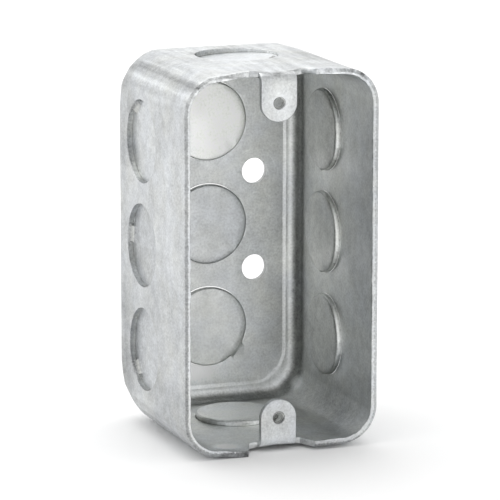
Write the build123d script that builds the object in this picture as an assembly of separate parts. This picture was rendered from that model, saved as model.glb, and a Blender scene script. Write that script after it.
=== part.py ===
from build123d import *
import os

# A handy box: one drawn tub of galvanised sheet steel, standing on an end wall, open towards -Y.
# While it is built, Y is the depth behind the rim and Z the height above the middle of the box.

# Tub
box_width = 54.0
box_depth = 54.0
end_wall_height = 100.2
sheet = 1.6

corner_radius = 9.8
back_bend_radius = 4.9

# How far the end walls stand out at the rim, beside the relief and at the corners: top left, top right,
# low left, low right. Between, the wall sinks behind the ear.
flare_beside_relief = (0.71, 0.5, 0.71, -0.26)
flare_at_corner = (0.0, 0.1, 0.0, -0.4)
flare_depth = 7.0
flare_shoulder = 1.0
ear_sink = 0.5

# Step pressed round the back panel
step_height = 0.35
step_run = 0.8
step_land = 0.15
panel_corner_radius = 9.5

# Relief cut in each end wall, and the ear folded in from its floor
relief_mouth_width = 18.8
relief_floor_width = 14.4
relief_depth = 5.1
ear_width = 10.0
ear_drop = 0.2
ear_setback = 2.3
ear_bend_inside = 1.1
ear_edge_bevel = 0.25

# Tapped holes for a device's screws, No. 6-32
device_screw_spacing = 83.34
device_screw_bore = 2.78
device_screw_mouth = 3.5

# Holes through the back for wood screws
back_hole_diameter = 7.1
back_hole_spacing = 26.8
back_hole_middle = 1.2
back_hole_offset = 12.65

# Half-inch knockouts, sheared and pushed in, each held by one tie
knockout_diameter = 22.2
knockout_shear_gap = 0.15
knockout_sink = 1.5
knockout_edge_bevel = 0.35
tie_width = 4.4
tie_run = 2.2
tie_root = 0.7

# Where the knockouts lie
wall_knockout_depth = 32.9
low_row_forward = 1.4
wall_row_pitch = 27.9
wall_row_middle = 0.5
back_row_pitch = 28.5
back_row_middle = 0.9
back_column_offset = -1.0

# Way from each disc's centre to its tie, in degrees: on the side walls turned from the back panel
# towards the top, on the back panel from the right towards the top. Upper, middle and low disc.
# The top disc's tie is turned from the back panel towards the right.
left_tie_angles = (53, 7, -41)
right_tie_angles = (-70, -70, -70)
back_tie_angles = (170, 190, -40)
top_tie_angle = 125

# Broken edges of the sheared rim
rim_bevel = 0.2

# How far cutters run past what they cut, and how close an edge lies to the plane it is looked for in
past = 1.0
near = 0.01

out_left = Vector(-1, 0, 0)
out_right = Vector(1, 0, 0)
out_back = Vector(0, 1, 0)
out_top = Vector(0, 0, 1)
out_bottom = Vector(0, 0, -1)
from_base = (Align.CENTER, Align.CENTER, Align.MIN)

# Quarters of an outline as up and out, in the order of the flares
quarters = ((1, -1), (1, 1), (-1, -1), (-1, 1))


def across(depth):
    # A plane across the tub: sketch X is the width, sketch Y the height
    return Plane(origin=(0, depth, 0), x_dir=(1, 0, 0), z_dir=(0, -1, 0))


def rim_outline(inset):
    # At the rim the end walls stand out beside the relief and sink behind the ear
    radius = corner_radius - inset
    side = box_width / 2 - inset
    end = end_wall_height / 2 - inset
    turn = side - radius
    flat = relief_mouth_width / 2 + flare_shoulder
    lips = {}
    wall_ends = {}
    with BuildLine() as outline:
        for quarter, beside, at_corner in zip(quarters, flare_beside_relief, flare_at_corner):
            up, out = quarter
            corner_end = (out * turn, up * (end + at_corner))
            lips[quarter] = (out * flat, up * (end + beside))
            wall_ends[quarter] = (out * side, up * (end + at_corner - radius))
            Spline(lips[quarter], corner_end, tangents=((out, 0), (out, 0)))
            RadiusArc(corner_end, wall_ends[quarter], out * up * radius)
        for up in (1, -1):
            Spline(lips[up, -1], (0, up * (end - ear_sink)), lips[up, 1], tangents=((1, 0), (1, 0)))
        for out in (1, -1):
            Line(wall_ends[1, out], wall_ends[-1, out])
    return outline.line


def plain_outline(inset):
    # Behind the flare: the same stretches, all straight or round
    radius = corner_radius - inset
    side = box_width / 2 - inset
    end = end_wall_height / 2 - inset
    turn = side - radius
    flat = relief_mouth_width / 2 + flare_shoulder
    with BuildLine() as outline:
        for up, out in quarters:
            Line((out * flat, up * end), (out * turn, up * end))
            RadiusArc((out * turn, up * end), (out * side, up * (end - radius)), out * up * radius)
        for up in (1, -1):
            Line((-flat, up * end), (flat, up * end))
        for out in (1, -1):
            Line((out * side, end - radius), (out * side, radius - end))
    return outline.line


def panel_outline(shrink):
    return RectangleRounded(box_width - 2 * (back_bend_radius + shrink),
                            end_wall_height - 2 * (back_bend_radius + shrink),
                            panel_corner_radius - shrink)


def tub_body(inset):
    # Solid tub, inset from the outer skin; the inner one also clears the rim
    floor = box_depth - step_height - inset
    rim = across(0) * make_face(rim_outline(inset))
    plain = across(flare_depth) * make_face(plain_outline(inset))
    body = loft([rim, plain], ruled=True)
    body += extrude(plain, amount=floor - flare_depth, dir=(0, 1, 0))
    back_edges = body.edges().filter_by_position(Axis.Y, floor - near, floor + near)
    body = fillet(back_edges, back_bend_radius - inset)
    step = loft([across(floor) * panel_outline(step_land),
                 across(floor + step_height) * panel_outline(step_land + step_run)], ruled=True)
    body += step
    if inset > 0:
        body += extrude(rim, amount=past, dir=(0, -1, 0))
    return body


def tub():
    shell = tub_body(0) - tub_body(sheet)
    rim_edges = shell.edges().filter_by_position(Axis.Y, -near, near)
    return chamfer(rim_edges, rim_bevel)


def relief_cutter():
    # Trapezoid seen from above, wide at the rim
    slope = (relief_mouth_width - relief_floor_width) / 2 / relief_depth
    mouth = relief_mouth_width / 2 + past * slope
    plan = Polyline((-mouth, -past), (mouth, -past), (relief_floor_width / 2, relief_depth),
                    (-relief_floor_width / 2, relief_depth), close=True)
    height = sheet + flare_beside_relief[0] + 2 * past
    bottom = end_wall_height / 2 - sheet - past
    return extrude(Plane.XY.offset(bottom) * make_face(plan), amount=height)


def ear():
    # Folded strip, rooted in the wall: out of the relief's floor, round the bend and down over the opening
    hole_height = device_screw_spacing / 2
    tip = hole_height - ear_width / 2
    back_face = ear_setback + sheet
    root = back_face + ear_bend_inside + sheet
    skin = end_wall_height / 2 - ear_drop
    side = Polyline((root, skin), (ear_setback, skin), (ear_setback, tip), (back_face, tip),
                    (back_face, skin - sheet), (root, skin - sheet), close=True)
    section = Plane.YZ * make_face(side)
    corners = section.vertices()
    outer_corner = corners.sort_by_distance((0, ear_setback, skin))[0]
    inner_corner = corners.sort_by_distance((0, back_face, skin - sheet))[0]
    section = fillet(outer_corner, ear_bend_inside + sheet)
    inner_corner = section.vertices().sort_by_distance(inner_corner)[0]
    section = fillet(inner_corner, ear_bend_inside)
    strip = extrude(section, amount=ear_width / 2, both=True)
    round_end = Pos(0, hole_height) * Circle(ear_width / 2)
    straight_part = Pos(0, hole_height + end_wall_height / 2) * Rectangle(ear_width, end_wall_height)
    strip = strip & extrude(across(0) * (round_end + straight_part), amount=box_depth, dir=(0, 1, 0))
    front_edges = strip.edges().filter_by_position(Axis.Y, ear_setback - near, ear_setback + near)
    bend_start = skin - sheet - ear_bend_inside
    broken = front_edges.filter_by(lambda edge: edge.center().Z < bend_start)
    return chamfer(broken, ear_edge_bevel)


def device_screw_hole():
    mouth = (device_screw_mouth - device_screw_bore) / 2
    at = Plane(origin=(0, ear_setback, device_screw_spacing / 2), x_dir=(1, 0, 0), z_dir=(0, 1, 0))
    bore = Cylinder(device_screw_bore / 2, sheet + 2 * past, align=from_base)
    flare = Cone(device_screw_mouth / 2, device_screw_bore / 2, mouth, align=from_base)
    return at * (Pos(0, 0, -past) * bore + flare)


def knockout_cutter(place):
    return place * Pos(0, 0, -sheet / 2) * Cylinder(knockout_diameter / 2, sheet + 2 * past)


def knockout_disc(place):
    # Disc pushed in by the sink, and the tie that slopes down to it from the wall
    radius = knockout_diameter / 2
    disc = Pos(0, 0, -knockout_sink - sheet / 2) * Cylinder(radius - knockout_shear_gap, sheet)
    inner_edge = disc.edges().filter_by(GeomType.CIRCLE).sort_by(Axis.Z)[0]
    disc = chamfer(inner_edge, knockout_edge_bevel)
    root = radius + tie_root
    foot = radius - tie_run
    slope = Polyline((root, 0), (root, -sheet), (foot, -sheet - knockout_sink), (foot, -knockout_sink),
                     close=True)
    tie = extrude(Plane.XZ * make_face(slope), amount=tie_width / 2, both=True)
    return place * (disc + tie)


def knockout_places():
    # Each place is a point on the outer skin, the way out, and the way from the disc's centre to its tie
    side = box_width / 2
    end = end_wall_height / 2
    rows = (1, 0, -1)
    places = []
    side_walls = ((-side, out_left, left_tie_angles), (side, out_right, right_tie_angles))
    for wall, outward, tie_angles in side_walls:
        for row, tie_angle in zip(rows, tie_angles):
            depth = wall_knockout_depth - (low_row_forward if row == -1 else 0)
            height = wall_row_middle + row * wall_row_pitch
            places.append(((wall, depth, height), outward, out_back.rotate(Axis.X, tie_angle)))
    for row, tie_angle in zip(rows, back_tie_angles):
        height = back_row_middle + row * back_row_pitch
        tie = out_right.rotate(Axis.Y, -tie_angle)
        places.append(((back_column_offset, box_depth, height), out_back, tie))
    places.append(((0, wall_knockout_depth, end), out_top, out_back.rotate(Axis.Z, -top_tie_angle)))
    places.append(((0, wall_knockout_depth, -end), out_bottom, out_right))
    return [Plane(origin=point, x_dir=tie, z_dir=outward) for point, outward, tie in places]


def back_hole(row):
    height = back_hole_middle + row * back_hole_spacing / 2
    at = Plane(origin=(back_hole_offset, box_depth, height), z_dir=(0, 1, 0))
    return at * Cylinder(back_hole_diameter / 2, 2 * (sheet + past))


def build_box():
    box = tub()
    cutters = [relief_cutter(), mirror(relief_cutter(), about=Plane.XY)]
    cutters += [back_hole(row) for row in (1, -1)]
    places = knockout_places()
    cutters += [knockout_cutter(place) for place in places]
    box -= cutters
    box += [knockout_disc(place) for place in places]
    box += [ear(), mirror(ear(), about=Plane.XY)]
    box -= [device_screw_hole(), mirror(device_screw_hole(), about=Plane.XY)]
    return box


# Set down on the lip of its lower end, with the origin under the middle of the box
lip = end_wall_height / 2 + flare_beside_relief[2] * (1 - rim_bevel / flare_depth)
box = Pos(0, -box_depth / 2, lip) * build_box()

os.makedirs("parts", exist_ok=True)
export_step(box, "parts/box.step")
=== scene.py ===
import math

import bmesh
import bpy
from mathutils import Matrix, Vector, noise


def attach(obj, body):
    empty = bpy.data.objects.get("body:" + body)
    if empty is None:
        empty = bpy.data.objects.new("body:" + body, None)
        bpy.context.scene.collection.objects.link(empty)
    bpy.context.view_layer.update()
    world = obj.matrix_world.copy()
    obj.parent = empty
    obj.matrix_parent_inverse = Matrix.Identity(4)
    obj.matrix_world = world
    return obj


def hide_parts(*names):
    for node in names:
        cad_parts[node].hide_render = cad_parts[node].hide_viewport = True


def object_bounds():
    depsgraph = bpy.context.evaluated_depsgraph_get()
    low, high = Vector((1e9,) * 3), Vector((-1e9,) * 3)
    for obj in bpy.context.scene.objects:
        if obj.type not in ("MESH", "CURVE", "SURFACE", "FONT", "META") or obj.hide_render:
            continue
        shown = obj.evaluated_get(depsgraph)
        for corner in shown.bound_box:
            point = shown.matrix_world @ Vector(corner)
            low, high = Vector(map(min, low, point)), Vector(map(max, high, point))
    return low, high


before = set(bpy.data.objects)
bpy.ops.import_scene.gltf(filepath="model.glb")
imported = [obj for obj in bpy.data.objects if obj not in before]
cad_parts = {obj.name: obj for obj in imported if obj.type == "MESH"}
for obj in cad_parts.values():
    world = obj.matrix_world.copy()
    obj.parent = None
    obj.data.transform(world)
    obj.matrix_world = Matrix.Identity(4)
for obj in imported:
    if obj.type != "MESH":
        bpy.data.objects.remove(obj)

# A drawn handy box of galvanised sheet steel, in metres and in the frame's own axes:
# it stands on one end wall, the open front looks along -Y and Z is up.
# Places on the box are given in mm as width from the middle, depth behind the rim, height from the middle.

mm = 0.001
scene = bpy.context.scene
cadLow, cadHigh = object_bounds()
midHeight = (cadLow.z + cadHigh.z) / 2
rimY = cadLow.y

# The box's own measures
boxSizes = {
    "halfWidth": 27.0,
    "halfHeight": 50.1,
    "depth": 54.0,
    "corner": 9.8,
    "backBend": 4.9,
    "screwHeight": 41.67,        # of the tapped hole in each ear, from the middle
    "backHoleWidth": 12.65,
    "backHoleHeights": (14.6, -12.2),
}


def onBox(width, depth, height):
    return Vector((width * mm, rimY + depth * mm, midHeight + height * mm))


def boxPlace(point):
    return Vector((point.x / mm, (point.y - rimY) / mm, (point.z - midHeight) / mm))


def ramp(value, low, high):
    t = min(max((value - low) / (high - low), 0), 1)
    return t * t * (3 - 2 * t)


# Materials

def newMaterial(name):
    material = bpy.data.materials.new(name)
    material.use_nodes = True
    tree = material.node_tree
    tree.nodes.clear()
    output = tree.nodes.new("ShaderNodeOutputMaterial")
    shader = tree.nodes.new("ShaderNodeBsdfPrincipled")
    tree.links.new(shader.outputs["BSDF"], output.inputs["Surface"])
    return material, tree, shader


def plug(tree, value, socket):
    if isinstance(value, (int, float, tuple)):
        socket.default_value = value
    else:
        tree.links.new(value, socket)


def addNoise(tree, vector, size, detail=3.0, roughness=0.55):
    # Noise whose lumps are about this many mm wide
    node = tree.nodes.new("ShaderNodeTexNoise")
    node.inputs["Scale"].default_value = 1 / size
    node.inputs["Detail"].default_value = detail
    node.inputs["Roughness"].default_value = roughness
    tree.links.new(vector, node.inputs["Vector"])
    return node.outputs["Fac"]


def addMapping(tree, vector, scale, place=(0, 0, 0)):
    node = tree.nodes.new("ShaderNodeMapping")
    node.inputs["Location"].default_value = place
    node.inputs["Scale"].default_value = scale
    tree.links.new(vector, node.inputs["Vector"])
    return node.outputs["Vector"]


def addRange(tree, value, fromLow, fromHigh, toLow, toHigh, smooth=False):
    node = tree.nodes.new("ShaderNodeMapRange")
    node.interpolation_type = "SMOOTHSTEP" if smooth else "LINEAR"
    ends = {"From Min": fromLow, "From Max": fromHigh, "To Min": toLow, "To Max": toHigh}
    for socket, number in ends.items():
        node.inputs[socket].default_value = number
    tree.links.new(value, node.inputs["Value"])
    return node.outputs["Result"]


def addMath(tree, operation, first, second=0.0):
    node = tree.nodes.new("ShaderNodeMath")
    node.operation = operation
    plug(tree, first, node.inputs[0])
    plug(tree, second, node.inputs[1])
    return node.outputs["Value"]


def addSum(tree, values):
    total = values[0]
    for value in values[1:]:
        total = addMath(tree, "ADD", total, value)
    return total


def addVector(tree, operation, first, second=None, output="Vector"):
    node = tree.nodes.new("ShaderNodeVectorMath")
    node.operation = operation
    plug(tree, first, node.inputs[0])
    if second is not None:
        plug(tree, second, node.inputs[1])
    return node.outputs[output]


def addSplit(tree, vector):
    node = tree.nodes.new("ShaderNodeSeparateXYZ")
    tree.links.new(vector, node.inputs["Vector"])
    return node.outputs


zinc = {
    "tone": 0.66,
    "darkest": 0.05,
    "clouds": (16.0, 0.035),     # size in mm, how much lighter or darker
    "cloudsMarked": (0.2, 1.8),  # from this much of the drawing's marks on they are stronger by this
    "mottle": (2.6, 0.06),
    "grain": (0.6, 0.12),
    "drawMarks": (2.2, 0.1),     # streaks along the depth, on the outside of the corners
    "drawStretch": 0.06,
    "wallMarks": (4.5, 0.02),    # soft upright bands
    "wallStretch": 0.1,
    "roughness": (0.34, 0.46),
    "roughClouds": 11.0,
    "roughGrain": 0.04,
    "grainHeight": 0.02,
    "grainStrength": 0.25,
    "warm": (0.985, 1.0, 0.965),
    "cool": (0.945, 0.975, 1.0),
    "tintClouds": (9.0, 0.45),
    "rimShear": (-0.16, -0.14),  # the rim's outer half: left, right
    "rimBurnish": 0.12,          # its inner half
    "rimPart": (1.0, 0.12),      # how far in the halves meet, and how softly
    "rimWobble": (1.2, 0.14),
    "rimFace": (0.05, 0.35),     # depth at which the rim's own tones fade out
    "rimBreaks": (2.1, -0.17, 0.2),   # burrs and cracks along the top: size, darkest, lightest
    "rimBreaksFrom": (42.0, 46.0),
    "ringMark": (6.0, 0.35, 0.09),    # washer's mark round the upper hole: radius, half width, lighter
    "ringBreaks": (3.0, 0.45, 0.6),
    "ringDepth": (50.0, 51.0),
}

noiseSpan = (0.3, 0.7)           # where most of a noise lies
grainSpan = (0.25, 0.75)
burrSpan = (0.4, 0.6)


def addWave(tree, vector, name, detail=3.0):
    # One of the zinc's soft patterns, lighter and darker by its strength
    size, strength = zinc[name]
    return addRange(tree, addNoise(tree, vector, size, detail), *noiseSpan, -strength, strength)


def rimTones(tree, place, width, depth, height):
    # Sheared along its outer half, drawn bright along its inner half
    corner = boxSizes["corner"]
    halfWidth = boxSizes["halfWidth"]
    turn = (halfWidth - corner, 0, boxSizes["halfHeight"] - corner)
    upright = addVector(tree, "ABSOLUTE", addMapping(tree, place, (1, 0, 1)))
    outwards = addVector(tree, "SUBTRACT", upright, turn)
    beyond = addVector(tree, "LENGTH", addVector(tree, "MAXIMUM", outwards, (0, 0, 0)), output="Value")
    parts = addSplit(tree, outwards)
    straight = addMath(tree, "MINIMUM", addMath(tree, "MAXIMUM", parts["X"], parts["Z"]), 0.0)
    inFrom = addMath(tree, "SUBTRACT", corner, addMath(tree, "ADD", beyond, straight))
    ragged = addMath(tree, "ADD", inFrom, addWave(tree, place, "rimWobble", 2.0))
    part, soft = zinc["rimPart"]
    drawn = addRange(tree, ragged, part - soft, part + soft, 0.0, 1.0, True)
    sheared = addRange(tree, width, -halfWidth, halfWidth, *zinc["rimShear"])
    outerHalf = addMath(tree, "MULTIPLY", sheared, addMath(tree, "SUBTRACT", 1.0, drawn))
    innerHalf = addMath(tree, "MULTIPLY", drawn, zinc["rimBurnish"])
    size, darkest, lightest = zinc["rimBreaks"]
    burrs = addRange(tree, addNoise(tree, place, size, 2.0), *burrSpan, darkest, lightest)
    breaks = addMath(tree, "MULTIPLY", burrs, addRange(tree, height, *zinc["rimBreaksFrom"], 0.0, 1.0))
    tone = addMath(tree, "ADD", addMath(tree, "ADD", outerHalf, innerHalf), breaks)
    return addMath(tree, "MULTIPLY", tone, addRange(tree, depth, *zinc["rimFace"], 1.0, 0.0))


def ringTone(tree, place, depth):
    radius, halfBand, lighter = zinc["ringMark"]
    hole = (boxSizes["backHoleWidth"], 0, boxSizes["backHoleHeights"][0])
    fromHole = addVector(tree, "SUBTRACT", addMapping(tree, place, (1, 0, 1)), hole)
    away = addVector(tree, "LENGTH", fromHole, output="Value")
    offRing = addMath(tree, "ABSOLUTE", addMath(tree, "SUBTRACT", away, radius))
    size, gap, whole = zinc["ringBreaks"]
    broken = addRange(tree, addNoise(tree, place, size, 1.0), gap, whole, 0.0, 1.0)
    ring = addMath(tree, "MULTIPLY", addRange(tree, offRing, 0.0, halfBand, lighter, 0.0, True), broken)
    return addMath(tree, "MULTIPLY", ring, addRange(tree, depth, *zinc["ringDepth"], 0.0, 1.0))


def galvanisedMaterial():
    material, tree, shader = newMaterial("galvanisedSteel")
    shader.inputs["Metallic"].default_value = 1.0
    coordinates = tree.nodes.new("ShaderNodeTexCoord").outputs["Object"]
    place = addMapping(tree, coordinates, (1 / mm, 1 / mm, 1 / mm), (0, -rimY / mm, -midHeight / mm))
    width, depth, height = addSplit(tree, place)

    # The layer named finish carries the shell's painted light and shade in red, its cool tint in green and
    # its drawing marks in blue
    finish = tree.nodes.new("ShaderNodeAttribute")
    finish.attribute_name = "finish"
    paint = tree.nodes.new("ShaderNodeSeparateColor")
    tree.links.new(finish.outputs["Color"], paint.inputs["Color"])
    tonePaint, coolPaint, marksPaint = paint.outputs["Red"], paint.outputs["Green"], paint.outputs["Blue"]

    marked, stronger = zinc["cloudsMarked"]
    strength = addRange(tree, marksPaint, 0.0, marked, 1.0, stronger)
    clouds = addMath(tree, "MULTIPLY", addWave(tree, place, "clouds"), strength)
    mottle = addWave(tree, place, "mottle")
    grainSize, grainTone = zinc["grain"]
    grainField = addNoise(tree, place, grainSize, 2.0, 0.6)
    grain = addRange(tree, grainField, *grainSpan, -grainTone, grainTone)
    alongDepth = addMapping(tree, place, (1, zinc["drawStretch"], 1))
    drawMarks = addMath(tree, "MULTIPLY", addWave(tree, alongDepth, "drawMarks", 2.0), marksPaint)
    alongHeight = addMapping(tree, place, (1, 1, zinc["wallStretch"]))
    wallMarks = addWave(tree, alongHeight, "wallMarks", 2.0)
    rim = rimTones(tree, place, width, depth, height)
    ring = ringTone(tree, place, depth)

    tone = addSum(tree, [clouds, mottle, grain, drawMarks, wallMarks, rim, ring, tonePaint])
    bright = addMath(tree, "MAXIMUM", addMath(tree, "ADD", tone, zinc["tone"]), zinc["darkest"])
    tint = tree.nodes.new("ShaderNodeMix")
    tint.data_type = "RGBA"
    tree.links.new(addMath(tree, "ADD", coolPaint, addWave(tree, place, "tintClouds")), tint.inputs["Factor"])
    tint.inputs[6].default_value = (*zinc["warm"], 1)
    tint.inputs[7].default_value = (*zinc["cool"], 1)
    colour = addVector(tree, "SCALE", tint.outputs[2])
    tree.links.new(bright, colour.node.inputs["Scale"])
    tree.links.new(colour, shader.inputs["Base Color"])

    smooth, matt = zinc["roughness"]
    rough = addRange(tree, addNoise(tree, place, zinc["roughClouds"], 3.0), *noiseSpan, smooth, matt)
    roughGrain = addRange(tree, grainField, *noiseSpan, -zinc["roughGrain"], zinc["roughGrain"])
    tree.links.new(addMath(tree, "ADD", rough, roughGrain), shader.inputs["Roughness"])
    bump = tree.nodes.new("ShaderNodeBump")
    bump.inputs["Strength"].default_value = zinc["grainStrength"]
    bump.inputs["Distance"].default_value = zinc["grainHeight"] * mm
    tree.links.new(grainField, bump.inputs["Height"])
    tree.links.new(bump.outputs["Normal"], shader.inputs["Normal"])
    return material


galvanised = galvanisedMaterial()
print("materials made")

# The tub: the frame's own shell with rolled edges, soft ties, gentle dents and a ragged rim.
# All in mm, and every edge longer than a ...Length is halved in its zone

tub = {
    "merge": 0.001,
    "flat": 0.3,                 # degrees
    "edgeAngle": 40,
    "edgeRoll": 0.13,
    "edgeSteps": 2,
    "grid": 3.5,                 # the flat faces are cut this far apart, so the dents have something to bend
    "gridShift": 0.37,           # part of a step
    "gridMerge": 0.002,
    "halvings": 12,              # of a long edge, at most
    "smoothing": 0.5,            # of each turn of smoothing
    "sharpAngle": 55,
    "rimLength": 0.8,            # longest edge left along the rim
    "rimDepth": 0.7,
    "rimNicks": (2.6, 0.34),     # width, depth
    "nickFine": (0.5, 3),        # finer nicks among them: share, how much finer
    "nickInset": (0.9, 1.5),
    "rimRagged": (1.7, 0.05, 0.5),    # width, height, how far back it is felt
    "crown": (8.8, 0.3),         # the pushed discs' rounded inner edge: from this radius, this far back
    "crownLength": 0.9,
    "crownDepth": (2.3, 2.6, 2.9),    # starts, is cut finely, is full
    "tieLength": (7.6, 11.2, 13.0),   # of a tie, from the disc's middle: starts, leaves the disc, ends
    "tieDepth": (-0.5, 1.0, 3.4),     # above the skin, root's skin, below the disc
    "tieReach": 3.4,
    "tieFine": 0.7,
    "tieSmoothing": 4,
    "panel": (22.1, 45.2, 9.5),  # outline of the raised back panel: half width, half height, corner
    "panelLength": 1.3,
    "panelZone": (45.5, 1.5, 7.2, 0.8),   # from this depth, between these insets, below this much skin
    "stepLength": 0.6,
    "stepZone": (51.3, -0.4, 1.5),
    "patchLength": 1.2,
    "patchZone": (-46.5, -21, -7, 9),     # below this height, between these widths, up to this depth
    "seam": (0.14, 0.4, 0.15, 0.02),      # closes the shear gap behind the side discs: by, from the edge, to
    "seamDepth": (1.3, 2.4),
    "dents": ((24.0, 0.16), (9.0, 0.03)),   # width, depth
    "dentSeed": 7,               # without it the dents lie elsewhere in each run
    "dentsOn": ((8, 24), (40, 52), (30, 46)),   # how they come in on the sides, the back and the ends
    "footDents": (2, 12),        # the low end stays flat where it stands on its lip
    "cornerPull": {(-1, 1): 0.9, (1, 1): 0.9, (-1, -1): 1.7, (1, -1): 1.2},
    "cornerReach": (13.0, 14.0, 17.0),
    "cornerZone": (18, 44, 41),
    "cornerSmoothing": 8,
    "earSag": (0.6, 7.0, 8.0, 0.8),   # the wall sinks by, at this depth, with this reach, narrower by
    "earSagZone": (12, 14),
    "earSagSkin": (46, 48),
}

knockouts = {
    "radius": 11.1,
    "slab": (1.25, 3.4),         # a disc lies between these depths
    # Way out, then each disc: width, depth, height, tie's angle, painted light and shade on its face, how
    # cool
    "left": (
        (-27, 32.9, 28.4, 53, -0.06, 0.9),
        (-27, 32.9, 0.5, 7, -0.16, 1.0),
        (-27, 31.5, -27.4, -41, -0.14, 1.0),
    ),
    "right": (
        (27, 32.9, 28.4, -70, -0.12, 0.1),
        (27, 32.9, 0.5, -70, -0.09, 0.1),
        (27, 31.5, -27.4, -70, -0.1, 0.1),
    ),
    "back": (
        (-1, 54, 29.4, 170, 0.27, 0.1),
        (-1, 54, 0.9, 190, 0.01, 0.9),
        (-1, 54, -27.6, -40, 0.03, 0.4),
    ),
    "top": ((0, 32.9, 50.1, 125, 0.1, 0.8),),
    "bottom": ((0, 32.9, -50.1, 90, 0.14, 0.4),),
    "topTilt": (1.0, 11.0),      # how far the top disc is left standing at its tie, over half its width
    "gap": 0.05,                 # left out round a disc when its face is painted
    # The face that the photograph shows of each disc, between these depths
    "faceSeen": {
        "left": (1.25, 2.3),
        "right": (1.25, 3.4),
        "back": (2.3, 3.4),
        "top": (1.25, 2.3),
        "bottom": (2.3, 3.4),
    },
    # The sheared wall round each disc: half width, from, to depth, then its painted shade
    "cutWall": (0.12, 0.1, 1.58),
    "wallTone": {"left": -0.06, "right": -0.08, "back": 0.0, "top": -0.14, "bottom": 0.0},
    "topWall": (-7, 7, 0.3),     # painted light, rising from left to right
    "rightEdge": (10.8, 2.5, 0.3),    # the right discs' painted highlight along their inner edge: from this radius, this depth
    "leftTie": (8.8, 11.4, 1.6, 0.16),   # painted shade on the left wall's ties: from, to, down to, darker
    "leftTieEdge": ((0.15, 0.5), (2.0, 2.6)),
}

# Soft patches of painted light and shade: width, depth, height, their reaches, lighter or darker
outsidePatches = (
    (-27, 40, 37, 2, 6, 5, -0.16),
    (-25.5, 23, 4.6, 3, 4, 5, 0.14),
    (-27, 22, -43, 6, 30, 6, 0.06),
    (-27, 12, 20, 3, 5, 24, 0.05),
    (20, 20, 50, 10, 30, 4, -0.16),
    (-9.5, 37, 49.4, 3, 4, 1.5, -0.45),
    (-20, 30, 50, 8, 30, 8, -0.06),
)
insidePatches = (
    (-18, 54, -42, 22, 6, 18, 0.5),
    (5, 54, -30, 26, 6, 24, 0.24),
    (5, 54, 26, 26, 6, 34, 0.12),
    (26, 36, -4, 4, 14, 40, 0.1),
    (26, 0, 0, 6, 24, 80, -0.13),
    (0, 22, -50, 32, 40, 8, 0.3),
    (25.2, 47.6, -46.0, 3.6, 4.8, 3.6, 0.9),
    (24, 26, -46.5, 7, 24, 12, -0.29),
    (17, 16, -50, 12, 18, 4, -0.12),
    (22.5, 11, -46.5, 7, 15, 9, -0.12),
    (-14, 4.4, -49, 5, 3.4, 2, 0.7),
    (-14, 1.8, -49, 6, 1.4, 2, -0.2),
    (-5, 52, -37, 12, 4, 8, 0.14),
    (0, 52, -41, 14, 4, 7, 0.22),
    (-5, 22.5, -47.3, 9, 3, 1.6, -0.45),
    (0, 3, 42, 7, 2.5, 9, 0.24),
    (0, 3, -42, 6, 2, 7, -0.05),
)
reliefPatches = (
    (-8, 2, 50, 2.2, 3.4, 2.2, 0.3),
    (8, 2, 50, 2.2, 3.4, 2.2, 0.3),
    (0, 3.4, 49.6, 5.4, 2.6, 1.5, -0.4),
    (0, 0, -50, 30, 0.8, 5, -0.4),
    (0, 0, 50, 30, 0.8, 5, 0.15),
)
# Painted reflections in bands along the top left corner: turn from the side wall in degrees, half width,
# lighter or darker
cornerBands = ((45, 8, -0.15), (57, 5, 0.16), (67, 5, -0.08), (80, 6, 0.04), (28, 10, 0.3), (8, 8, 0.05))

waysOut = {
    "left": Vector((-1, 0, 0)),
    "right": Vector((1, 0, 0)),
    "back": Vector((0, 1, 0)),
    "top": Vector((0, 0, 1)),
    "bottom": Vector((0, 0, -1)),
}


def tieWay(wall, angle):
    turn = math.radians(angle)
    if wall in ("left", "right"):
        return Vector((0, math.cos(turn), math.sin(turn)))
    if wall == "back":
        return Vector((math.cos(turn), 0, math.sin(turn)))
    if wall == "top":
        return Vector((math.sin(turn), math.cos(turn), 0))
    return Vector((1, 0, 0))


def listDiscs():
    found = []
    for wall, out in waysOut.items():
        for width, depth, height, angle, lighter, cool in knockouts[wall]:
            found.append({"wall": wall, "out": out, "centre": Vector((width, depth, height)),
                          "tie": tieWay(wall, angle), "lighter": lighter, "cool": cool})
    return found


discs = listDiscs()


def onDisc(disc, place):
    # From the disc's middle, how deep below the wall's skin, and the same way flat along the disc
    offset = place - disc["centre"]
    deep = -offset.dot(disc["out"])
    return offset, deep, offset + disc["out"] * deep


def cleanShell():
    shell = bmesh.new()
    shell.from_mesh(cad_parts["box"].data)
    bmesh.ops.remove_doubles(shell, verts=shell.verts, dist=tub["merge"] * mm)
    bmesh.ops.dissolve_limit(shell, angle_limit=math.radians(tub["flat"]), use_dissolve_boundaries=False,
                             verts=shell.verts, edges=shell.edges, delimit={"NORMAL"})
    return shell


def rollEdges(shell):
    limit = math.radians(tub["edgeAngle"])
    edges = [edge for edge in shell.edges if edge.is_convex and edge.calc_face_angle(0) > limit]
    bmesh.ops.bevel(shell, geom=edges, offset=tub["edgeRoll"] * mm, offset_type="OFFSET",
                    segments=tub["edgeSteps"], profile=0.5, affect="EDGES", clamp_overlap=False,
                    loop_slide=True)
    bmesh.ops.dissolve_degenerate(shell, dist=tub["merge"] * mm, edges=shell.edges)


def cutGrid(shell):
    step = tub["grid"] * mm
    for axis in range(3):
        normal = Vector((0, 0, 0))
        normal[axis] = 1
        for cut in range(1, int((cadHigh[axis] - cadLow[axis]) / step) + 1):
            at = normal * (cadLow[axis] + (cut - tub["gridShift"]) * step)
            whole = shell.verts[:] + shell.edges[:] + shell.faces[:]
            bmesh.ops.bisect_plane(shell, geom=whole, dist=tub["gridMerge"] * mm, plane_co=at,
                                   plane_no=normal)
    bmesh.ops.triangulate(shell, faces=shell.faces, quad_method="BEAUTY", ngon_method="BEAUTY")


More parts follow.
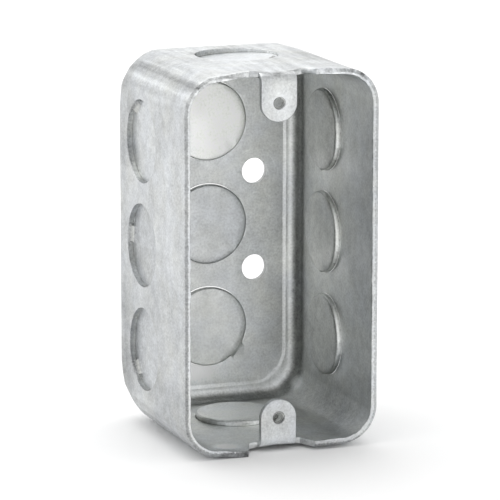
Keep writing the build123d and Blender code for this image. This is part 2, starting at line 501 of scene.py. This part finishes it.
def splitLong(shell, limit, near):
    # Halves the long edges, never two of one face at once
    for turn in range(tub["halvings"]):
        edges = [edge for edge in shell.edges if edge.calc_length() > limit * mm
                 and near((edge.verts[0].co + edge.verts[1].co) / 2)]
        if not edges:
            break
        edges.sort(key=lambda edge: (-round(edge.calc_length(), 7), edge.index))
        taken = set()
        apart = []
        for edge in edges:
            if not any(face in taken for face in edge.link_faces):
                taken.update(edge.link_faces)
                apart.append(edge)
        bmesh.ops.subdivide_edges(shell, edges=apart, cuts=1, use_single_edge=True)
        shell.edges.index_update()


def smoothVerts(shell, verts, turns):
    for turn in range(turns):
        bmesh.ops.smooth_vert(shell, verts=verts, factor=tub["smoothing"], use_axis_x=True,
                              use_axis_y=True, use_axis_z=True)


def softenTies(shell):
    start, leaves, finish = tub["tieLength"]
    above, rootSkin, below = tub["tieDepth"]

    def nearTie(point):
        place = boxPlace(point)
        for disc in discs:
            if disc["wall"] == "right":
                continue
            offset = place - disc["centre"]
            along = offset.dot(disc["tie"])
            deep = -offset.dot(disc["out"])
            aside = (offset - disc["tie"] * along + disc["out"] * deep).length
            if start < along < finish and aside < tub["tieReach"] and above < deep < below:
                return along < leaves or deep < rootSkin
        return False

    splitLong(shell, tub["tieFine"], nearTie)
    smoothVerts(shell, [vert for vert in shell.verts if nearTie(vert.co)], tub["tieSmoothing"])


def fromRounded(place, halfWidth, halfHeight, corner):
    # How far inside a rounded outline, seen from the front
    across = abs(place.x) - (halfWidth - corner)
    along = abs(place.z) - (halfHeight - corner)
    return corner - math.hypot(max(across, 0), max(along, 0)) - min(max(across, along), 0)


def fromOutline(place):
    return fromRounded(place, boxSizes["halfWidth"], boxSizes["halfHeight"], boxSizes["corner"])


def fromSkin(place):
    # How deep below the tub's outer skin, which turns into the back round a bend
    bend = boxSizes["backBend"]
    inset = fromOutline(place)
    behind = boxSizes["depth"] - place.y
    if inset < bend and behind < bend:
        return bend - math.hypot(bend - inset, bend - behind)
    return min(inset, behind)


def atRearCorner(place):
    width, depth, height = tub["cornerZone"]
    return abs(place.x) > width and place.y > depth and abs(place.z) > height


def refineRings(shell):
    # Short edges along the rim, round each disc's inner edge, by the panel's step and where paint turns fast
    crownFrom = tub["crown"][0]
    crownDeep = tub["crownDepth"][1]
    slabFar = knockouts["slab"][1]

    def nearPanelEdge(point):
        place = boxPlace(point)
        depth, least, most, skin = tub["panelZone"]
        return place.y > depth and least < fromOutline(place) < most and fromSkin(place) > skin

    def nearStep(point):
        place = boxPlace(point)
        depth, least, most = tub["stepZone"]
        return place.y > depth and least < fromRounded(place, *tub["panel"]) < most

    def nearPatch(point):
        place = boxPlace(point)
        height, left, right, depth = tub["patchZone"]
        return place.z < height and left < place.x < right and place.y < depth or atRearCorner(place)

    def nearDiscEdge(point):
        place = boxPlace(point)
        for disc in discs:
            offset, deep, flat = onDisc(disc, place)
            if crownDeep < deep < slabFar and crownFrom < flat.length < knockouts["radius"]:
                return True
        return False

    splitLong(shell, tub["rimLength"], lambda point: boxPlace(point).y < tub["rimDepth"])
    splitLong(shell, tub["panelLength"], nearPanelEdge)
    splitLong(shell, tub["stepLength"], nearStep)
    splitLong(shell, tub["patchLength"], nearPatch)
    splitLong(shell, tub["crownLength"], nearDiscEdge)


# How the shell is painted, mostly with painted light and shade, also with its cool tint and drawing marks: a
# pair is where a ramp starts and ends, the last number how much lighter or darker
paint = {
    "inside": (0.5, 1.1),        # depth below the skin at which the outside's paint gives way
    "leftWall": (20, 24),
    "leftShade": (0.1, 0.11, 0.08),   # painted shade on the left wall: all over, at its foot, at its back
    "leftFoot": (0, 35),
    "leftBack": (38, 46),
    # painted shade in a thin line along the rear bend's outside
    "rearBend": ((49.8, 51.2), (51.4, 53), 0.08),
    "rightStripe": (28, (2, 9), 0.28),     # a painted dark reflection along the top right corner: degrees from upright, edges, darker
    "cornerFade": (41, 48),      # the corners' painted bands end towards the back
    # painted light and painted shade, in a band each round the back panel
    "panelLight": ((3.6, 4.1), (4.8, 5.8), 0.1),
    "panelLightFrom": (50, 51.5),
    "panelDark": (2.6, 3.8, 0.3),
    "panelDarkFrom": (46, 49),
    "panelStraight": ((18, 22), (34, 42), 0.5),   # beside the right wall the dark band lies elsewhere
    "panelShift": (0.6, -0.2),
    "cool": (0.75, -0.55, 0.35),           # outside, inside, on the back
    "coolFrom": ((12, 26), (51, 52)),
    "marks": (0.15, 0.85),       # all over, at the ends
    "marksFrom": (38, 44),
    "screwHole": (1.85, 2.35, 4.2, 0.34),  # painted shade in the ears' bores: radius, from, to depth, darker
    # painted shade in the back holes' bores: radius, from depth, darker
    "backHole": (3.6, 51, 0.3),
}


def blobs(place, patches):
    total = 0.0
    for x, y, z, reachX, reachY, reachZ, lighter in patches:
        away = ((place.x - x) / reachX) ** 2 + ((place.y - y) / reachY) ** 2 + ((place.z - z) / reachZ) ** 2
        if away < 1:
            total += lighter * (1 - away) ** 2
    return total


def band(value, rise, fall):
    return ramp(value, *rise) * (1 - ramp(value, *fall))


def outsideTone(place):
    # Painted shade on the left wall and in a line along the rear bend, a painted dark reflection along the
    # top right corner, and bands of painted reflection along the top left corner
    shadeAll, shadeFoot, shadeBack = paint["leftShade"]
    shade = shadeAll + shadeFoot * ramp(-place.z, *paint["leftFoot"])
    shade += shadeBack * ramp(place.y, *paint["leftBack"])
    tone = -ramp(-place.x, *paint["leftWall"]) * shade
    rise, fall, darker = paint["rearBend"]
    tone -= darker * band(place.y, rise, fall)
    turnWidth = boxSizes["halfWidth"] - boxSizes["corner"]
    turnHeight = boxSizes["halfHeight"] - boxSizes["corner"]
    corner = 0.0
    if place.x > turnWidth and place.z > turnHeight:
        middle, edges, darker = paint["rightStripe"]
        leaning = math.degrees(math.atan2(place.x - turnWidth, place.z - turnHeight))
        corner = -darker * (1 - ramp(abs(leaning - middle), *edges))
    if place.x < -turnWidth and place.z > turnHeight:
        turned = math.degrees(math.atan2(place.z - turnHeight, -turnWidth - place.x))
        for middle, half, lighter in cornerBands:
            corner += lighter * (1 - ramp(abs(turned - middle), 0, half))
    return tone + corner * (1 - ramp(place.y, *paint["cornerFade"]))


def insideTone(place):
    # Painted light and painted shade, in a band each round the back panel
    inset = fromOutline(place)
    sides, ends, share = paint["panelStraight"]
    straight = ramp(place.x, *sides) * (1 - ramp(abs(place.z), *ends)) * share
    rise, fall, lighter = paint["panelLight"]
    tone = lighter * band(inset, rise, fall) * ramp(place.y, *paint["panelLightFrom"])
    low, high, darker = paint["panelDark"]
    lowShift, highShift = paint["panelShift"]
    fade = 1 - ramp(inset, low + lowShift * straight, high + highShift * straight)
    return tone - darker * fade * ramp(place.y, *paint["panelDarkFrom"])


def paintDiscs(place, tone, cool):
    # Painted light and shade on the sunk faces, painted shade on the sheared walls round them and on the left
    # wall's ties, a painted highlight on the right discs' edges
    radius = knockouts["radius"]
    slabNear, slabFar = knockouts["slab"]
    cutHalf, cutFrom, cutTo = knockouts["cutWall"]
    edgeFrom, edgeDepth, edgeLighter = knockouts["rightEdge"]
    tieFrom, tieTo, tieDown, tieDarker = knockouts["leftTie"]
    downEdge, sideEdge = knockouts["leftTieEdge"]
    for disc in discs:
        wall = disc["wall"]
        offset, deep, flat = onDisc(disc, place)
        across = flat.length
        if across < radius - knockouts["gap"] and slabNear < deep < slabFar:
            faceNear, faceFar = knockouts["faceSeen"][wall]
            if faceNear < deep < faceFar:
                tone += disc["lighter"]
                cool = disc["cool"]
        elif abs(across - radius) < cutHalf and cutFrom < deep < cutTo:
            tone += knockouts["wallTone"][wall]
            if wall == "top":
                left, right, lighter = knockouts["topWall"]
                tone += lighter * ramp(offset.x, left, right)
        if wall == "right" and edgeFrom < across < radius and edgeDepth < deep < slabFar:
            tone += edgeLighter
        along = offset.dot(disc["tie"])
        if wall == "left" and tieFrom < along < tieTo and deep < tieDown:
            aside = (flat - disc["tie"] * along).length
            tone -= tieDarker * ramp(deep, *downEdge) * (1 - ramp(aside, *sideEdge))
    return tone, cool


def paintHoles(place, tone):
    # Painted shade in the bores: the ears' tapped holes and the two in the back
    radius, near, far, darker = paint["screwHole"]
    for height in (boxSizes["screwHeight"], -boxSizes["screwHeight"]):
        if math.hypot(place.x, place.z - height) < radius and near < place.y < far:
            tone -= darker
    radius, near, darker = paint["backHole"]
    for height in boxSizes["backHoleHeights"]:
        if math.hypot(place.x - boxSizes["backHoleWidth"], place.z - height) < radius and place.y > near:
            tone -= darker
    return tone


def paintShell(shell):
    # Red the painted light and shade, green how cool, blue how much the drawing has marked it
    layer = shell.verts.layers.float_color.new("finish")
    coolOutside, coolInside, coolBack = paint["cool"]
    coolFrom, backFrom = paint["coolFrom"]
    marksAll, marksEnds = paint["marks"]
    for vert in shell.verts:
        place = boxPlace(vert.co)
        inside = ramp(fromSkin(place), *paint["inside"])
        outside = 1 - inside
        tone = blobs(place, insidePatches if inside > 0.5 else outsidePatches) + blobs(place, reliefPatches)
        tone += outside * outsideTone(place) + inside * insideTone(place)
        cool = coolOutside + coolInside * inside * ramp(place.y, *coolFrom)
        cool += coolBack * inside * ramp(place.y, *backFrom)
        marks = outside * (marksAll + marksEnds * ramp(abs(place.z), *paint["marksFrom"]))
        tone, cool = paintDiscs(place, tone, cool)
        tone = paintHoles(place, tone)
        vert[layer] = (tone, cool, marks, 1)


def cornerMove(place, side, end):
    # The rear corners pulled in, rounder than one radius gives
    reachX, reachY, reachZ = tub["cornerReach"]
    halfWidth, depth, halfHeight = boxSizes["halfWidth"], boxSizes["depth"], boxSizes["halfHeight"]
    intoCorner = (ramp(abs(place.x), halfWidth - reachX, halfWidth) * ramp(place.y, depth - reachY, depth)
                  * ramp(abs(place.z), halfHeight - reachZ, halfHeight))
    return Vector((-side, -1, -end)) * tub["cornerPull"][side, end] * intoCorner


def dentMove(place, side, end):
    # Gentle dents, inwards only
    sides, back, ends = tub["dentsOn"]
    move = Vector((0, 0, 0))
    for size, deep in tub["dents"]:
        x, y, z = noise.noise_vector(place / size)
        inX = ramp(abs(place.x), *sides) * side * (1 + x)
        inY = ramp(place.y, *back) * (1 + y)
        inZ = ramp(abs(place.z), *ends) * end * (1 + z)
        if end < 0:
            inZ *= ramp(place.y, *tub["footDents"])
        move += Vector((-inX, -inY, -inZ)) * deep / 2
    return move


def earMove(place, end):
    # The wall sinks in front of and behind each ear's bend
    sag, middle, reach, narrower = tub["earSag"]
    halfWidth, depth = tub["earSagZone"]
    move = Vector((0, 0, 0))
    if abs(place.x) < halfWidth and place.y < depth:
        away = math.hypot(place.x * narrower, place.y - middle) / reach
        move.z -= end * sag * (1 - ramp(away, 0, 1)) * ramp(abs(place.z), *tub["earSagSkin"])
    return move


def discMove(place):
    # The top disc's tilt, the seam behind the side discs, the crown of every disc's inner edge
    radius = knockouts["radius"]
    slabNear, slabFar = knockouts["slab"]
    tilt, tiltHalf = knockouts["topTilt"]
    seam, seamFrom, seamFull, seamTo = tub["seam"]
    seamNear, seamFar = tub["seamDepth"]
    crownFrom, crownBack = tub["crown"]
    crownStart, crownCut, crownFull = tub["crownDepth"]
    move = Vector((0, 0, 0))
    for disc in discs:
        offset, deep, flat = onDisc(disc, place)
        if not slabNear - knockouts["gap"] < deep < slabFar:
            continue
        across = flat.length
        if disc["wall"] == "top" and across < radius + knockouts["gap"]:
            move += disc["out"] * tilt * (offset.dot(disc["tie"]) + tiltHalf) / (2 * tiltHalf)
        if disc["wall"] in ("left", "right") and seamNear < deep < seamFar:
            if radius - seamFrom < across < radius - seamTo:
                move += flat.normalized() * seam * ramp(across, radius - seamFrom, radius - seamFull)
        if deep > crownStart and crownFrom < across < radius:
            share = ((across - crownFrom) / (radius - crownFrom)) ** 2
            move += disc["out"] * crownBack * share * ramp(deep, crownStart, crownFull)
    return move


def rimMove(place):
    # Nicks along the rim's inner edge, and a front that isn't quite even
    nickSize, nickDepth = tub["rimNicks"]
    raggedSize, raggedDepth, raggedReach = tub["rimRagged"]
    reach = tub["rimDepth"]
    fineShare, finer = tub["nickFine"]
    move = Vector((0, 0, 0))
    if place.y < reach:
        nick = max(0.0, noise.noise(place / nickSize)) + fineShare * noise.noise(place / nickSize * finer)
        inwards = Vector((-place.x, 0, -place.z)).normalized()
        share = ramp(fromOutline(place), *tub["nickInset"]) * (1 - place.y / reach)
        move += inwards * nickDepth * nick * share
    if place.y < raggedReach:
        move.y += raggedDepth * (1 + noise.noise(place / raggedSize)) * (1 - place.y / raggedReach)
    return move


def bendShell(shell):
    noise.seed_set(tub["dentSeed"])
    for vert in shell.verts:
        place = boxPlace(vert.co)
        side = 1 if place.x > 0 else -1
        end = 1 if place.z > 0 else -1
        move = cornerMove(place, side, end) + dentMove(place, side, end) + earMove(place, end)
        vert.co += (move + discMove(place) + rimMove(place)) * mm
    corners = [vert for vert in shell.verts if atRearCorner(boxPlace(vert.co))]
    smoothVerts(shell, corners, tub["cornerSmoothing"])


def makeTub():
    shell = cleanShell()
    rollEdges(shell)
    cutGrid(shell)
    refineRings(shell)
    softenTies(shell)
    paintShell(shell)
    bendShell(shell)
    mesh = bpy.data.meshes.new("handyBox")
    shell.to_mesh(mesh)
    shell.free()
    mesh.shade_smooth()
    mesh.set_sharp_from_angle(angle=math.radians(tub["sharpAngle"]))
    mesh.materials.append(galvanised)
    piece = bpy.data.objects.new("handyBox", mesh)
    scene.collection.objects.link(piece)
    weights = piece.modifiers.new("evenShading", "WEIGHTED_NORMAL")
    weights.keep_sharp = True
    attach(piece, "root")
    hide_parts("box")
    print("tub made", len(mesh.polygons))


makeTub()


# Small parts made by geometry nodes: the tapped thread in each ear, the flakes along the rim

threads = {
    "depth": 2.45,
    "radius": 1.41,
    "pitch": 0.794,
    "turns": 1.85,
    "ridge": 0.12,
    "turnSteps": 40,
    "ridgeSides": 6,
}

flakes = {
    "count": 220,
    "size": (0.06, 0.3),
    "spots": 0.8,
    "tone": (0.78, 0.98),
    "roughness": (0.5, 0.3),
    "kept": 0.45,
    "inset": 1.25,
    "depth": 0.2,
    "spread": ((-0.25, -0.05, -0.25), (0.25, 0.02, 0.25)),
    "turn": ((0, 0, 0), (0.4, 6.28, 0.4)),
    "shape": ((0.5, 0.35, 0.5), (1.6, 0.5, 1.0)),
    "seed": 7,
    # The path along the rim: where it starts beside the relief, a point between, steps round a corner
    "start": 10.4,
    "between": 14,
    "cornerSteps": 9,
    # How far the end walls stand out there and at the corner, by end and side
    "flare": {(1, -1): (0.71, 0.0), (1, 1): (0.5, 0.1), (-1, -1): (0.71, 0.0), (-1, 1): (-0.26, -0.4)},
}


def newTree(name, inputs):
    # A tree with named number inputs; gives the tree, its input node and each input's identifier
    tree = bpy.data.node_groups.new(name, "GeometryNodeTree")
    tree.interface.new_socket("Geometry", in_out="INPUT", socket_type="NodeSocketGeometry")
    tree.interface.new_socket("Geometry", in_out="OUTPUT", socket_type="NodeSocketGeometry")
    names = {}
    for label, value in inputs.items():
        kind = "NodeSocketInt" if isinstance(value, int) else "NodeSocketFloat"
        names[label] = tree.interface.new_socket(label, in_out="INPUT", socket_type=kind).identifier
    return tree, tree.nodes.new("NodeGroupInput"), names


def finishTree(tree, geometry, material):
    realize = tree.nodes.new("GeometryNodeRealizeInstances")
    setMaterial = tree.nodes.new("GeometryNodeSetMaterial")
    setMaterial.inputs["Material"].default_value = material
    output = tree.nodes.new("NodeGroupOutput")
    tree.links.new(geometry, realize.inputs["Geometry"])
    tree.links.new(realize.outputs["Geometry"], setMaterial.inputs["Geometry"])
    tree.links.new(setMaterial.outputs["Geometry"], output.inputs["Geometry"])


def growPiece(name, mesh, tree, names, inputs):
    # Runs the tree on the mesh and keeps the outcome as a plain mesh
    grower = bpy.data.objects.new(name + "Grower", mesh)
    scene.collection.objects.link(grower)
    modifier = grower.modifiers.new("grow", "NODES")
    modifier.node_group = tree
    for label, value in inputs.items():
        modifier[names[label]] = value
    graph = bpy.context.evaluated_depsgraph_get()
    grown = bpy.data.meshes.new_from_object(grower.evaluated_get(graph))
    bpy.data.objects.remove(grower)
    grown.name = name
    piece = bpy.data.objects.new(name, grown)
    scene.collection.objects.link(piece)
    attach(piece, "root")
    print(name, "made", len(grown.polygons))


def makeThreads():
    inputs = {
        "Pitch": threads["pitch"] * mm,
        "Turns": threads["turns"],
        "Radius": threads["radius"] * mm,
        "Ridge": threads["ridge"] * mm,
    }
    tree, given, names = newTree("tappedThread", inputs)
    spiral = tree.nodes.new("GeometryNodeCurveSpiral")
    spiral.inputs["Resolution"].default_value = threads["turnSteps"]
    rise = addMath(tree, "MULTIPLY", given.outputs["Pitch"], given.outputs["Turns"])
    tree.links.new(given.outputs["Turns"], spiral.inputs["Rotations"])
    tree.links.new(given.outputs["Radius"], spiral.inputs["Start Radius"])
    tree.links.new(given.outputs["Radius"], spiral.inputs["End Radius"])
    tree.links.new(rise, spiral.inputs["Height"])
    ridge = tree.nodes.new("GeometryNodeCurvePrimitiveCircle")
    ridge.inputs["Resolution"].default_value = threads["ridgeSides"]
    tree.links.new(given.outputs["Ridge"], ridge.inputs["Radius"])
    sweep = tree.nodes.new("GeometryNodeCurveToMesh")
    sweep.inputs["Fill Caps"].default_value = True
    tree.links.new(spiral.outputs["Curve"], sweep.inputs["Curve"])
    tree.links.new(ridge.outputs["Curve"], sweep.inputs["Profile Curve"])
    both = tree.nodes.new("GeometryNodeJoinGeometry")
    for end in (1, -1):
        lay = tree.nodes.new("GeometryNodeTransform")
        lay.inputs["Rotation"].default_value = (math.radians(-90), 0, 0)
        lay.inputs["Translation"].default_value = onBox(0, threads["depth"], end * boxSizes["screwHeight"])
        tree.links.new(sweep.outputs["Mesh"], lay.inputs["Geometry"])
        tree.links.new(lay.outputs["Geometry"], both.inputs["Geometry"])
    finishTree(tree, both.outputs["Geometry"], galvanised)
    growPiece("screwThreads", bpy.data.meshes.new("threadSeed"), tree, names, inputs)


def rimPath():
    # Along the rim's drawn half, without the relief in each end wall
    corner = boxSizes["corner"] - flakes["inset"]
    side = boxSizes["halfWidth"] - flakes["inset"]
    end = boxSizes["halfHeight"] - flakes["inset"]
    steps = flakes["cornerSteps"]
    paths = []
    for across in (-1, 1):
        path = []
        for up in (1, -1):
            lip, turn = flakes["flare"][up, across]
            part = [(across * flakes["start"], up * (end + lip))]
            part.append((across * flakes["between"], up * (end + (lip + turn) / 2)))
            for step in range(steps + 1):
                angle = math.radians(90 - 90 / steps * step)
                part.append((across * (side - corner + corner * math.cos(angle)),
                             up * (end + turn - corner + corner * math.sin(angle))))
            path += part if up == 1 else part[::-1]
        paths.append(path)
    return paths


def makeFlakes():
    verts = []
    edges = []
    for path in rimPath():
        edges += [(len(verts) + i, len(verts) + i + 1) for i in range(len(path) - 1)]
        verts += [onBox(x, flakes["depth"], z) for x, z in path]
    mesh = bpy.data.meshes.new("rimPath")
    mesh.from_pydata(verts, edges, [])
    small, large = flakes["size"]
    inputs = {
        "Count": flakes["count"],
        "Smallest": small * mm,
        "Largest": large * mm,
        "Kept": flakes["kept"],
        "Seed": flakes["seed"],
    }
    tree, given, names = newTree("rimFlakes", inputs)
    toCurve = tree.nodes.new("GeometryNodeMeshToCurve")
    points = tree.nodes.new("GeometryNodeCurveToPoints")
    tree.links.new(given.outputs["Geometry"], toCurve.inputs["Mesh"])
    tree.links.new(toCurve.outputs["Curve"], points.inputs["Curve"])
    tree.links.new(given.outputs["Count"], points.inputs["Count"])
    flake = tree.nodes.new("GeometryNodeMeshIcoSphere")
    flake.inputs["Radius"].default_value = 1
    flake.inputs["Subdivisions"].default_value = 1

    def drawn(kind, low, high, offset):
        # A random value of each point's own; the offset keeps the draws apart
        node = tree.nodes.new("FunctionNodeRandomValue")
        node.data_type = kind
        tree.links.new(addMath(tree, "ADD", given.outputs["Seed"], offset), node.inputs["Seed"])
        sockets = [socket for socket in node.inputs if socket.enabled]
        for socket, value in zip(sockets, (low, high)):
            plug(tree, value, socket)
        return [socket for socket in node.outputs if socket.enabled][0]

    spreadLow, spreadHigh = [tuple(reach * mm for reach in corner) for corner in flakes["spread"]]
    size = drawn("FLOAT", given.outputs["Smallest"], given.outputs["Largest"], 1)
    turn = drawn("FLOAT_VECTOR", *flakes["turn"], 2)
    shape = drawn("FLOAT_VECTOR", *flakes["shape"], 3)
    spread = drawn("FLOAT_VECTOR", spreadLow, spreadHigh, 5)
    chance = drawn("FLOAT", 0.0, 1.0, 4)
    keep = tree.nodes.new("FunctionNodeCompare")
    keep.data_type = "FLOAT"
    keep.operation = "LESS_THAN"
    tree.links.new(chance, keep.inputs["A"])
    tree.links.new(given.outputs["Kept"], keep.inputs["B"])
    scatter = tree.nodes.new("GeometryNodeSetPosition")
    tree.links.new(points.outputs["Points"], scatter.inputs["Geometry"])
    tree.links.new(spread, scatter.inputs["Offset"])
    scale = addVector(tree, "SCALE", shape)
    tree.links.new(size, scale.node.inputs["Scale"])
    place = tree.nodes.new("GeometryNodeInstanceOnPoints")
    tree.links.new(scatter.outputs["Geometry"], place.inputs["Points"])
    tree.links.new(flake.outputs["Mesh"], place.inputs["Instance"])
    tree.links.new(keep.outputs["Result"], place.inputs["Selection"])
    tree.links.new(turn, place.inputs["Rotation"])
    tree.links.new(scale, place.inputs["Scale"])
    finishTree(tree, place.outputs["Instances"], zincFlake)
    growPiece("rimFlakes", mesh, tree, names, inputs)


def flakeMaterial():
    # Bright bare zinc, lifted off the sheared edge
    material, tree, shader = newMaterial("zincFlake")
    place = tree.nodes.new("ShaderNodeTexCoord").outputs["Object"]
    spots = addNoise(tree, addMapping(tree, place, (1 / mm, 1 / mm, 1 / mm)), flakes["spots"], 2.0)
    tone = addRange(tree, spots, *noiseSpan, *flakes["tone"])
    colour = tree.nodes.new("ShaderNodeCombineColor")
    for socket in ("Red", "Green", "Blue"):
        tree.links.new(tone, colour.inputs[socket])
    tree.links.new(colour.outputs["Color"], shader.inputs["Base Color"])
    tree.links.new(addRange(tree, spots, *noiseSpan, *flakes["roughness"]), shader.inputs["Roughness"])
    shader.inputs["Metallic"].default_value = 1.0
    return material


zincFlake = flakeMaterial()
makeThreads()
makeFlakes()

# Floor, lights and camera

stageSizes = {
    "floor": 6.0,
    "floorTone": 0.98,
    "floorRoughness": 0.9,
    "world": (0.92, 1.12),       # in front, behind
    "worldTurn": (-0.2, 0.9),
    "zenith": 0.8,               # how much of it is left straight above
    "zenithTurn": (0.45, 0.95),
    "softbox": (1.8, 1.5),
    "softboxPlace": (-0.2, 0.35, 1.3),
    "softboxWatts": 9.5,
}


def makeFloor():
    material, tree, shader = newMaterial("paleFloor")
    tone = stageSizes["floorTone"]
    shader.inputs["Base Color"].default_value = (tone, tone, tone, 1)
    shader.inputs["Roughness"].default_value = stageSizes["floorRoughness"]
    half = stageSizes["floor"] / 2
    corners = [(-half, -half, 0), (half, -half, 0), (half, half, 0), (-half, half, 0)]
    mesh = bpy.data.meshes.new("floor")
    mesh.from_pydata(corners, [], [(0, 1, 2, 3)])
    mesh.materials.append(material)
    floor = bpy.data.objects.new("floor", mesh)
    scene.collection.objects.link(floor)


def makeWorld():
    world = bpy.data.worlds.new("studio")
    scene.world = world
    world.use_nodes = True
    tree = world.node_tree
    background = tree.nodes["Background"]
    way = tree.nodes.new("ShaderNodeTexCoord").outputs["Generated"]
    parts = addSplit(tree, way)
    tone = addRange(tree, parts["Y"], *stageSizes["worldTurn"], *stageSizes["world"], True)
    above = addRange(tree, parts["Z"], *stageSizes["zenithTurn"], 1.0, stageSizes["zenith"], True)
    tree.links.new(addMath(tree, "MULTIPLY", tone, above), background.inputs["Strength"])
    background.inputs["Color"].default_value = (1, 1, 1, 1)


def makeSoftbox():
    light = bpy.data.lights.new("overhead", "AREA")
    light.shape = "RECTANGLE"
    light.size, light.size_y = stageSizes["softbox"]
    light.energy = stageSizes["softboxWatts"]
    lamp = bpy.data.objects.new("overhead", light)
    place = Vector(stageSizes["softboxPlace"])
    lamp.location = place
    lamp.rotation_euler = (Vector((0, 0, midHeight)) - place).to_track_quat("-Z", "Y").to_euler()
    scene.collection.objects.link(lamp)


# Where the photograph was taken from, found from the box's own corners and holes
viewpoint = {
    "sensor": 36,
    "lens": 265.37,
    "clip": (0.05, 50),
    "place": (-348.34, -891.87, 196.2),    # in mm, the last from the middle of the box
    "turn": (78.327, -0.047, -21.41),
}


def makeCamera():
    camera = bpy.data.cameras.new("camera")
    camera.sensor_width = viewpoint["sensor"]
    camera.lens = viewpoint["lens"]
    camera.clip_start, camera.clip_end = viewpoint["clip"]
    x, y, z = viewpoint["place"]
    eye = bpy.data.objects.new("camera", camera)
    eye.location = (x * mm, y * mm, midHeight + z * mm)
    eye.rotation_euler = [math.radians(angle) for angle in viewpoint["turn"]]
    scene.collection.objects.link(eye)
    scene.camera = eye


makeFloor()
makeWorld()
makeSoftbox()
makeCamera()
scene.view_settings.view_transform = "Standard"
print("stage made")
